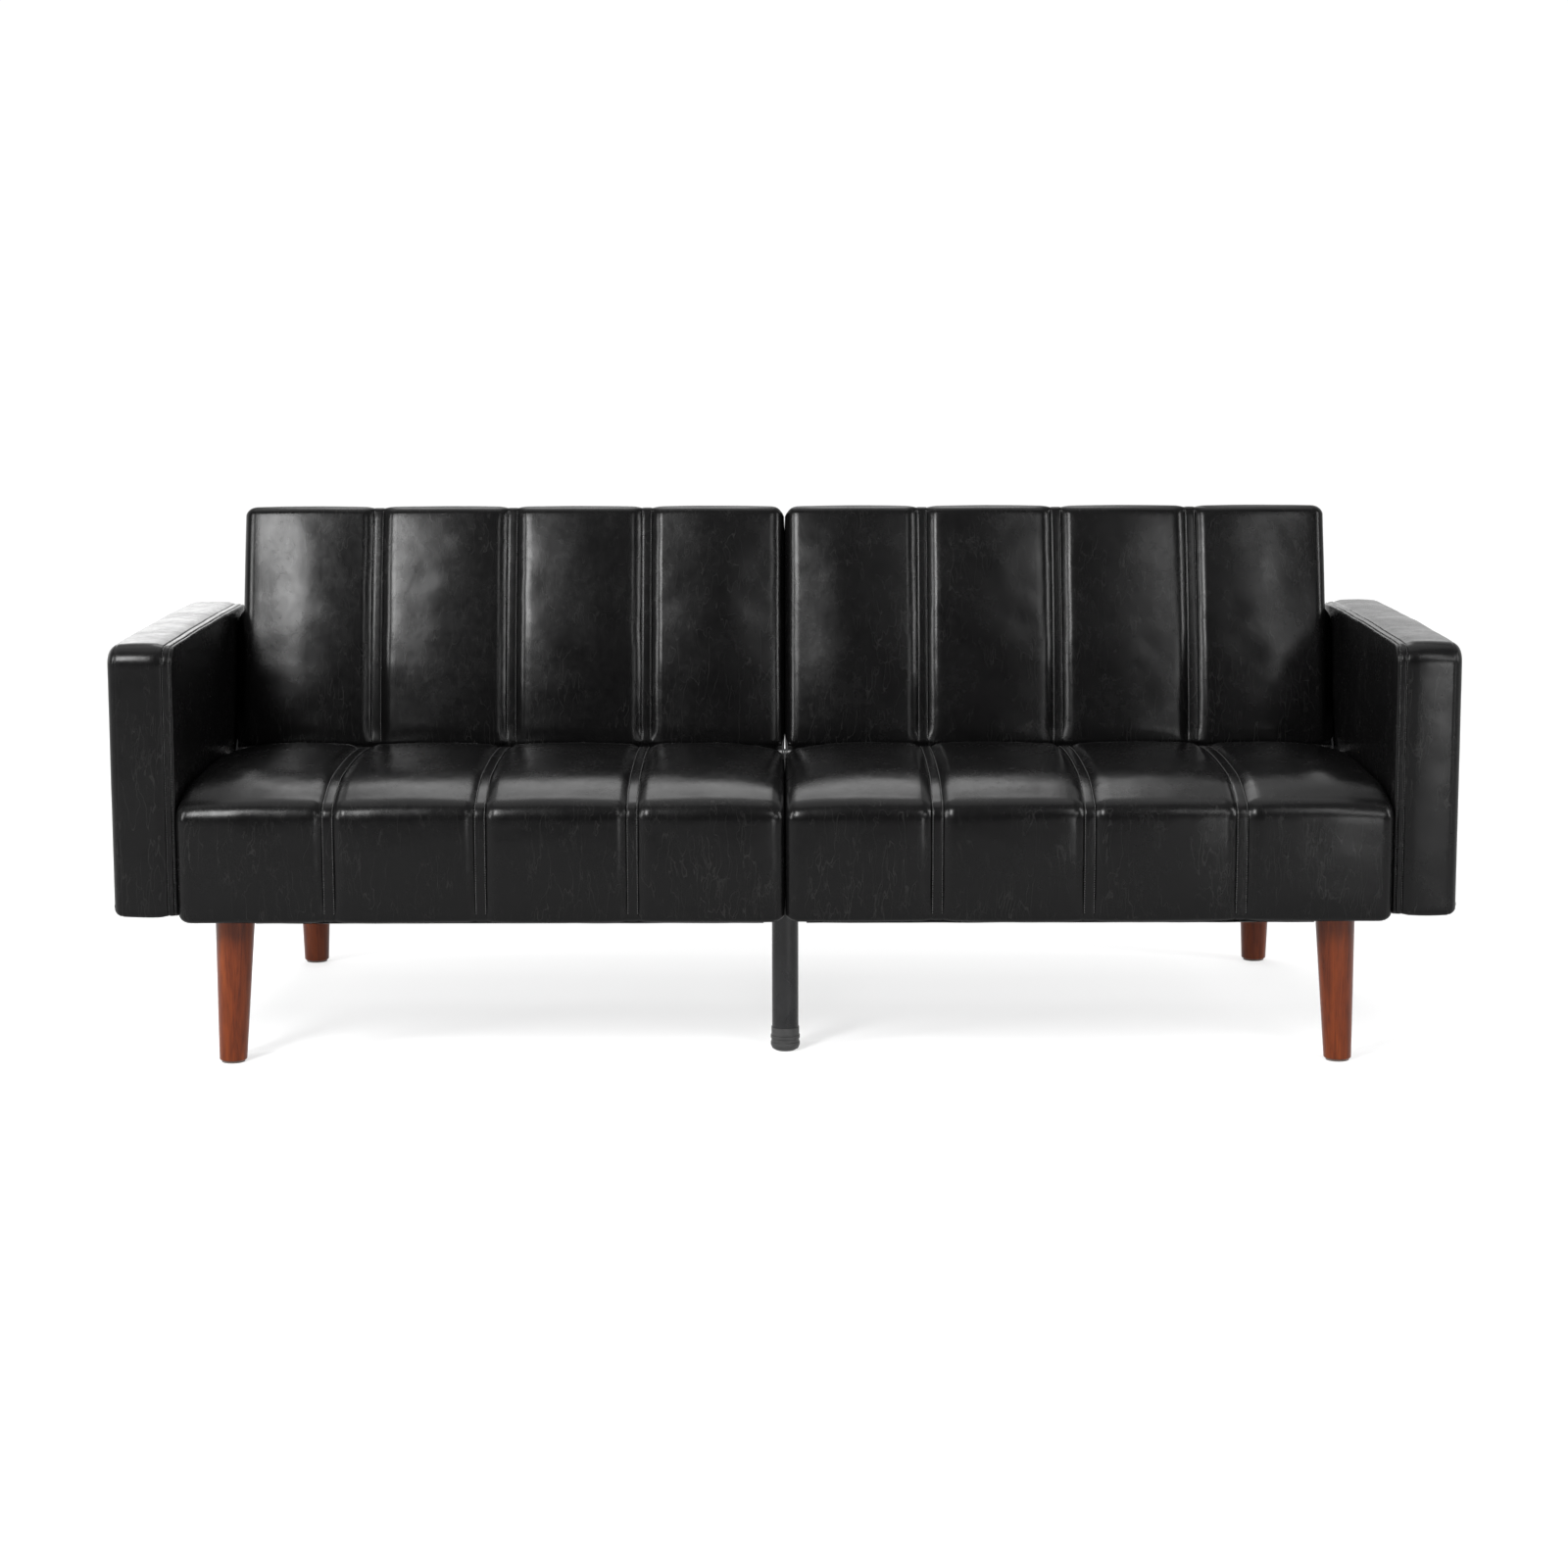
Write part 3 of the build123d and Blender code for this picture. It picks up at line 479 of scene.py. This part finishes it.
def cushion(name, side, body, x_in, x_out, outline, normals, mask, swell, soft, seams, ends,
            depth, crown, warp, replaced, seed):
    """A channelled cushion with its stitching. mask says where the channels show round the outline,
    swell is the push of the whole outline, soft how far its ends are rounded, depth and crown how far
    seams lie below and channels rise above it, and warp places the finished points."""
    end_values = [x_in + v for v in END_STEPS] + [x_out - v for v in END_STEPS]
    xs = columns(x_in, x_out, seams, COLUMN_STEP, end_values)
    size = len(outline)

    def offset(x):
        relief = channel_relief(x, x_in, x_out, seams, depth, crown)
        side_fade = ease(np.array([x - x_in, x_out - x]), 0, 0.10).min()
        return mask * relief + swell * (0.45 + 0.55 * side_fade)

    rings, caps = skin(outline, normals, xs, offset, ends, soft)
    verts = np.concatenate(rings)
    out = np.tile(normals, (len(rings), 1))
    out3 = np.column_stack([np.zeros(len(out)), out])
    live = np.tile(mask, len(rings))
    lumpy = 0.0010 * wander(verts * (1, 1.4, 1.4), 9, seed) + 0.0005 * wander(verts, 26, seed + 3)
    gap = np.min([abs(verts[:, 0] - s) for s in seams], axis=0)
    pucker = PUCKER * np.exp(-np.maximum(gap - STRIP, 0) / PUCKER_REACH) * (gap > STRIP)
    pucker = pucker * wander(verts * (0.4, 1, 1), 62, seed + 9)
    verts = verts + out3 * (live * (lumpy * (gap > STRIP) + pucker))[:, None]
    placed = warp(verts)
    placed[:, 0] *= side
    piece = make_mesh(name, placed, ring_faces(len(rings), size), LEATHER, body)
    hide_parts(*replaced)
    lifted = warp(verts + out3 * 0.001)
    lifted[:, 0] *= side
    rows = []
    order = shown_order(mask)
    for seam in seams:
        for edge in (-STITCH_LINE, STITCH_LINE):
            i = caps + int(np.argmin(abs(xs - (seam + edge))))
            spot = slice(i * size, (i + 1) * size)
            path, lift = placed[spot], lifted[spot] - placed[spot]
            rows.append((path[order], lift[order]))
    stitching(f"{name}_stitching", rows, body)


def shown_order(mask):
    """Indices of the masked stretch of a closed outline, in order."""
    shown = mask > 0.5
    first = int(np.where(shown & ~np.roll(shown, 1))[0][0])
    order = np.roll(np.arange(len(mask)), -first)
    return order[shown[order]]


# ---------------------------------------------------------------- seat and back

def seat_half(name, side):
    """One seat half: four channels over its crowned top and down its front."""
    low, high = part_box(f"seat_cover_{name}")
    front, rear, bottom, top = low[1], high[1], low[2], high[2]
    x_in, x_out = 0.0007, 0.8456
    lip = front + 0.0020
    top_line = [(rear, top - 0.0215), (front + 0.4325, top - 0.0070), (front + 0.297, top + 0.0052),
                (front + 0.079, top - 0.0024), (lip, top - 0.0305)]
    outline, normals = rounded_outline([(lip, bottom), (rear, bottom), *top_line],
                                       (0.010, 0.004, 0.014, 0.30, 2.0, 0.32, 0.029), 0.0065)
    show = np.maximum(normals[:, 1], -normals[:, 0])
    mask = ease(show, 0.25, 0.70) * (0.4 + 0.6 * ease(outline[:, 1], bottom, bottom + 0.035))
    mask = mask * (1 - 0.65 * ease(outline[:, 0], rear - 0.030, rear - 0.002))
    z_mid, z_half = (bottom + top) / 2, (top - bottom) / 2
    on_front = ease(-normals[:, 0], 0.3, 0.9) * (1 - ((outline[:, 1] - z_mid) / z_half) ** 2)
    swell = 0.005 * np.maximum(on_front, 0)
    soft = 1 - 0.8 * ease(outline[:, 0], rear - 0.030, rear - 0.005)
    seams = [x_in + (x_out - x_in) * k / CHANNELS for k in range(1, CHANNELS)]
    notch, notch_above = rear - 0.056, rear - 0.022

    def warp(verts):
        verts = verts.copy()
        # The rear corners are notched beside the hinges, and less far forward above them
        start = notch + (notch_above - notch) * ease(verts[:, 2], 0.357, 0.366)
        deep = ease(verts[:, 1], start - 0.010, start)
        near = ease(x_in + 0.045 - verts[:, 0], 0, 0.045)
        far = ease(verts[:, 0] - (x_out - 0.055), 0, 0.055)
        # The lower hem wavers a little
        hem = ease(bottom + 0.050 - verts[:, 2], 0, 0.050)
        # The crowned top dips toward both ends, less so at the rear
        end_gap = np.clip(np.minimum(verts[:, 0] - x_in, x_out - verts[:, 0]) / 0.12, 0, 1)
        upper = ease(verts[:, 2], bottom + 0.060, top - 0.010)
        dome = DOME * (1 - end_gap) ** 2 * upper * (0.35 + 0.65 * ease(verts[:, 1], lip + 0.02, lip + 0.16))
        dome = dome * (1 - 0.65 * ease(verts[:, 1], rear - 0.060, rear - 0.012))
        verts[:, 2] -= dome
        verts[:, 2] += 0.0016 * hem * wander(verts * (1, 0, 0), 5.5, 30 + side)
        verts[:, 0] += deep * (near * 0.0066 - far * 0.0138)
        return verts

    cushion(f"seat_cushion_{name}", side, "root", x_in, x_out, outline, normals, mask, swell, soft, seams,
            ends=((0.022, 0.013), (0.018, 0.014)), depth=0.0040, crown=0.0035, warp=warp,
            replaced=(f"seat_cover_{name}", f"seat_foam_{name}"), seed=1 + side)


def medial_line(outline):
    """The middle line of a long outline, which its ends are drawn in to."""
    low, high = outline.min(axis=0), outline.max(axis=0)
    half = (high - low).min() / 2
    middle = (low + high) / 2
    if high[0] - low[0] > high[1] - low[1]:
        return np.array([(low[0] + half, middle[1]), (high[0] - half, middle[1])])
    return np.array([(middle[0], low[1] + half), (middle[0], high[1] - half)])


def lean_to_world(verts):
    """Places points given as X, distance behind the pivot and height above it along the lean."""
    y = PIVOT[1] + verts[:, 2] * sin(LEAN) + verts[:, 1] * cos(LEAN)
    z = PIVOT[2] + verts[:, 2] * cos(LEAN) - verts[:, 1] * sin(LEAN)
    return np.column_stack([verts[:, 0], y, z])


def back_half(name, side):
    """One back half: four channels up its front and over its top, plain behind. Its two ends close
    the gap to the other half, and to the arm below the arm's top."""
    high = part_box(f"back_cover_{name}")[1]
    front, rear, bottom = -0.010, 0.100, 0.013
    top = (high[2] - PIVOT[2] + front * sin(LEAN)) / cos(LEAN) + 0.0035
    x_in, x_out = 0.0052, 0.8330
    corners = [(front, bottom), (rear, bottom), (rear, top), (front, top)]
    outline, normals = rounded_outline(corners, (0.010, 0.004, 0.009, 0.014), 0.0062)
    show = np.maximum(normals[:, 1], -normals[:, 0])
    mask = ease(show, 0.25, 0.75) * (0.35 + 0.65 * ease(outline[:, 1], bottom, bottom + 0.03))
    mask = mask * (1 - 0.70 * ease(normals[:, 1], 0.2, 0.8))
    soft = 1 - 0.75 * ease(outline[:, 0], rear - 0.050, rear - 0.010)
    soft = soft * (1 - 0.8 * ease(-normals[:, 1], 0.5, 0.95))
    b_mid, b_half = (bottom + top) / 2, (top - bottom) / 2
    on_front = ease(-normals[:, 0], 0.3, 0.9) * (1 - ((outline[:, 1] - b_mid) / b_half) ** 2)
    belly = ease(-normals[:, 1], 0.8, 0.98) * ease(rear - outline[:, 0], 0.010, 0.030)
    belly = belly * ease(outline[:, 0], front + 0.012, front + 0.032)
    swell = 0.010 * np.maximum(on_front, 0) + 0.009 * belly
    seams = [x_in + (x_out - x_in) * k / CHANNELS for k in range(1, CHANNELS)]

    def warp(verts):
        verts = verts.copy()
        up = verts[:, 2]
        behind = verts[:, 1]
        # The inner end reaches for the other half, in a band that stays clear of the pivot
        meet = ease(behind, -0.004, 0.006) * ease(0.050 - behind, 0.004, 0.016)
        meet = meet * ease(np.hypot(behind, up), 0.011, 0.016) * ease(top - 0.006 - up, 0, 0.008)
        near = ease(x_in + 0.020 - verts[:, 0], 0, 0.020)
        # The outer end reaches for the arm, below the arm's top
        start = 0.010 - 0.018 * ease(0.080 - up, 0, 0.030)
        cheek = ease(behind, start, start + 0.018) * ease(0.238 - up, 0, 0.022)
        far = ease(verts[:, 0] - (x_out - 0.060), 0, 0.060)
        wide = ease(behind, 0.020, 0.060)
        # The lower edge is drawn down round the pivot, which closes most of the crease to the seat
        fold = ease(0.030 - up, 0, 0.016) * ease(behind, -0.006, 0.003) * ease(0.034 - behind, 0, 0.020)
        fold = fold * ease(verts[:, 0] - x_in, 0.004, 0.018) * ease(x_out - verts[:, 0], 0.014, 0.036)
        verts[:, 2] -= fold * np.maximum(up - FOLD_FLOOR, 0) * 0.95
        verts[:, 0] += near * (-0.0043 * meet - 0.0007 * wide)
        verts[:, 0] += far * (0.0066 * wide + (0.0121 - 0.0066 * wide) * cheek)
        return lean_to_world(verts)

    cushion(f"back_cushion_{name}", side, f"back_{name}", x_in, x_out, outline, normals, mask, swell, soft,
            seams, ends=((0.016, 0.010), (0.018, 0.014)), depth=0.0046, crown=0.0055, warp=warp,
            replaced=(f"back_cover_{name}", f"back_foam_{name}"), seed=5 + side)


for half, sign in SIDES.items():
    seat_half(half, sign)
    back_half(half, sign)


# ---------------------------------------------------------------- arms

def arm(name, side):
    """A box arm: rolled outer edge, and a double-stitched strip along its inner top and front edge."""
    low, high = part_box(f"arm_cover_{name}")
    near, far = sorted((abs(low[0]), abs(high[0])))
    near, far = near - 0.0015, far - 0.002
    front, rear, bottom, top = low[1], high[1], low[2], high[2]
    corners = [(front, bottom), (rear, bottom), (rear, top), (front, top)]
    outline, normals = rounded_outline(corners, (0.008, 0.008, 0.018, 0.024), 0.0055)
    show = np.maximum(np.maximum(normals[:, 1], -normals[:, 0]), normals[:, 0])
    mask = ease(show, 0.25, 0.75)
    grooves = (near + 0.0050, near + 0.0140)
    outer_groove = far - 0.012
    extra = [near + v for v in ARM_INNER_STEPS] + [far - v for v in ARM_OUTER_STEPS]
    for groove in (*grooves, outer_groove):
        extra += list(groove - GROOVE_STEPS) + list(groove + GROOVE_STEPS)
    extra = [v for v in extra if near <= v <= far]
    xs = columns(near, far, (), ARM_STEP, extra)
    size = len(outline)
    y_mid, y_half = (front + rear) / 2, (rear - front) / 2
    on_top = np.maximum(ease(normals[:, 1], 0.3, 0.9) * (1 - ((outline[:, 0] - y_mid) / y_half) ** 2), 0)

    def offset(x):
        t = (x - near) / (far - near)
        dip = 0.0
        for groove in grooves:
            dip -= 0.0018 * np.exp(-((x - groove) / GROOVE_WIDTH) ** 2)
        dip -= 0.0007 * np.exp(-((x - outer_groove) / GROOVE_WIDTH) ** 2)
        if grooves[0] < x < grooves[1]:
            dip += 0.0004
        dip += 0.0022 * ease(x, grooves[1], grooves[1] + 0.012)
        return mask * (dip + 0.003 * (1 - (2 * t - 1) ** 2)) + 0.002 * on_top

    rings, caps = skin(outline, normals, xs, offset, ((0.004, 0.004), (0.015, 0.014)))
    verts = np.concatenate(rings)
    out = np.column_stack([np.zeros(len(verts)), np.tile(normals, (len(rings), 1))])
    live = np.tile(mask, len(rings))
    lumpy = 0.0009 * wander(verts, 8, 11 + side) + 0.0005 * wander(verts, 24, 14 + side)
    verts = verts + out * (live * lumpy)[:, None]
    placed = verts.copy()
    placed[:, 0] *= side
    piece = make_mesh(f"arm_{name}", placed, ring_faces(len(rings), size), LEATHER, "root")
    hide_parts(f"arm_cover_{name}", f"arm_padding_{name}")
    rows = []
    order = shown_order(mask)
    for groove in grooves:
        i = caps + int(np.argmin(abs(xs - groove)))
        spot = slice(i * size, (i + 1) * size)
        rows.append((placed[spot][order], out[spot][order]))
    stitching(f"arm_{name}_stitching", rows, "root")


for half, sign in SIDES.items():
    arm(half, sign)


# ---------------------------------------------------------------- underside

def dust_sheet(name, side):
    """Thin cloth stapled under a seat half, slack between its edges."""
    low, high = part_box(f"dust_cover_{name}")
    nx, ny = 60, 40
    level = low[2] - 0.0024
    slack, wave = 0.004, 0.0006
    verts, faces = [], []
    for j in range(ny + 1):
        for i in range(nx + 1):
            u, v = i / nx, j / ny
            sag = slack * (4 * u * (1 - u)) ** 0.6 * (4 * v * (1 - v)) ** 0.6
            ripple = wave * noise.noise(Vector((u * 14, v * 9, side * 3.0)))
            verts.append((low[0] + (high[0] - low[0]) * u, low[1] + (high[1] - low[1]) * v,
                          level - sag + ripple))
    for j in range(ny):
        for i in range(nx):
            a = j * (nx + 1) + i
            faces.append((a, a + 1, a + nx + 2, a + nx + 1))
    piece = make_mesh(f"underside_cloth_{name}", verts, faces, DUST, "root")
    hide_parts(f"dust_cover_{name}")


for half, sign in SIDES.items():
    dust_sheet(half, sign)

for part in frame["record"]["subparts"]:
    obj = frame["nodes"][part["node"]]
    if len(obj.material_slots) == 0:
        obj.data.materials.append(SLOT_MATERIALS[part["material_slot"]])
    for place in obj.material_slots:
        place.material = SLOT_MATERIALS[part["material_slot"]]


# ---------------------------------------------------------------- studio

def pale_floor():
    """A plain pale floor that glows a little, so that it stays as light as the backdrop."""
    mat, shader, node, link = new_material("pale_floor")
    where = node("ShaderNodeTexCoord").outputs["Object"]
    cloud = node("ShaderNodeTexNoise", {"Vector": where, "Scale": 0.6, "Detail": 2.0})
    link(ramp(node, cloud.outputs["Fac"], [(0.3, 0.32), (0.7, 0.34)]), "Base Color")
    shader.inputs["Roughness"].default_value = 0.9
    shader.inputs["Emission Color"].default_value = (1, 1, 1, 1)
    shader.inputs["Emission Strength"].default_value = 0.60
    bpy.ops.mesh.primitive_plane_add(size=120, location=(0, 0, 0))
    floor = bpy.context.object
    floor.name = "floor"
    floor.data.materials.append(mat)


def softbox(name, place, target, size, power):
    """A rectangular soft light that faces a point."""
    light = bpy.data.lights.new(name, "AREA")
    light.shape = "RECTANGLE"
    light.size, light.size_y = size
    light.energy = power
    lamp = bpy.data.objects.new(name, light)
    bpy.context.scene.collection.objects.link(lamp)
    lamp.location = place
    lamp.rotation_euler = (Vector(target) - Vector(place)).to_track_quat("-Z", "Y").to_euler()
    lamp.visible_camera = False


def studio():
    """A white backdrop, and lights. Everything but the camera sees a room instead: dark in front of the
    sofa, and behind it light toward the horizon, more so on the left. Two boxes stand high in front, two
    strips at the sides, and a low box, a pool on the floor and a rear box fill in. A wide sun is
    overhead."""
    world = bpy.data.worlds.new("studio")
    bpy.context.scene.world = world
    world.use_nodes = True
    tree = world.node_tree
    node = node_maker(tree)

    axes = node("ShaderNodeSeparateXYZ", {0: node("ShaderNodeTexCoord").outputs["Generated"]}).outputs
    ahead = ramp(node, axes[2], [(0.0, 0.008), (0.25, 0.012), (0.5, 0.08), (0.8, 0.23), (1.0, 0.27)])
    left = ramp(node, axes[2], [(0.0, 0.90), (0.25, 0.90), (0.45, 0.38), (1.0, 0.27)])
    right = ramp(node, axes[2], [(0.0, 0.40), (0.25, 0.40), (0.45, 0.33), (1.0, 0.27)])
    across = node("ShaderNodeMapRange", {"Value": axes[0], 1: -0.12, 2: 0.12, 3: 0.0, 4: 1.0})
    behind = node("ShaderNodeMix", {0: across.outputs[0], 6: left, 7: right}, data_type="RGBA").outputs[2]
    turn = node("ShaderNodeMapRange", {"Value": axes[1], 1: -0.25, 2: 0.35, 3: 0.0, 4: 1.0})
    room = node("ShaderNodeMix", {0: turn.outputs[0], 6: ahead, 7: behind}, data_type="RGBA")
    mirrored = tree.nodes["Background"]
    mirrored.inputs["Strength"].default_value = 3.0
    tree.links.new(room.outputs[2], mirrored.inputs["Color"])
    seen = node("ShaderNodeBackground", {"Color": (1, 1, 1, 1), "Strength": 1.05})
    path = node("ShaderNodeLightPath")
    both = node("ShaderNodeMixShader", {0: path.outputs["Is Camera Ray"], 1: mirrored.outputs[0],
                                        2: seen.outputs[0]})
    tree.links.new(both.outputs[0], tree.nodes["World Output"].inputs["Surface"])
    bpy.context.scene.view_settings.view_transform = "Standard"
    softbox("left_box", (-2.12, -3.5, 2.80), (-0.3, 0, 0.5), (0.95, 1.50), 285)
    softbox("right_box", (1.65, -3.5, 2.7), (0.3, 0, 0.5), (0.7, 1.2), 36)
    softbox("left_strip", (-3.9, -2.4, 2.0), (0, 0, 0.5), (0.7, 2.2), 165)
    softbox("right_strip", (4.2, -1.3, 1.9), (0, 0, 0.5), (0.5, 2.0), 100)
    softbox("low_box", (2.0, -4.0, 0.45), (0.8, -0.4, 0.35), (0.8, 0.9), 34)
    softbox("floor_pool", (1.9, -2.3, 1.3), (1.9, -2.3, 0), (1.0, 1.0), 45)
    softbox("rear_box", (-0.25, 2.6, 3.4), (0, -0.3, 0.4), (2.2, 1.4), 34)
    sun = bpy.data.lights.new("overhead", "SUN")
    sun.energy = 0.9
    sun.angle = radians(50)
    lamp = bpy.data.objects.new("overhead", sun)
    bpy.context.scene.collection.objects.link(lamp)
    lamp.rotation_euler = (radians(-8), radians(-6), 0)


def camera():
    """The camera, a little above the sofa and straight in front of it."""
    data = bpy.data.cameras.new("camera")
    cam = bpy.data.objects.new("camera", data)
    bpy.context.scene.collection.objects.link(cam)
    data.sensor_width = 36
    data.lens = 73.53
    data.shift_y = -0.0368
    cam.location = (0, -4.7675, 1.101)
    cam.rotation_euler = (radians(90 - 7.94), radians(0.10), 0)
    bpy.context.scene.camera = cam


pale_floor()
studio()
camera()
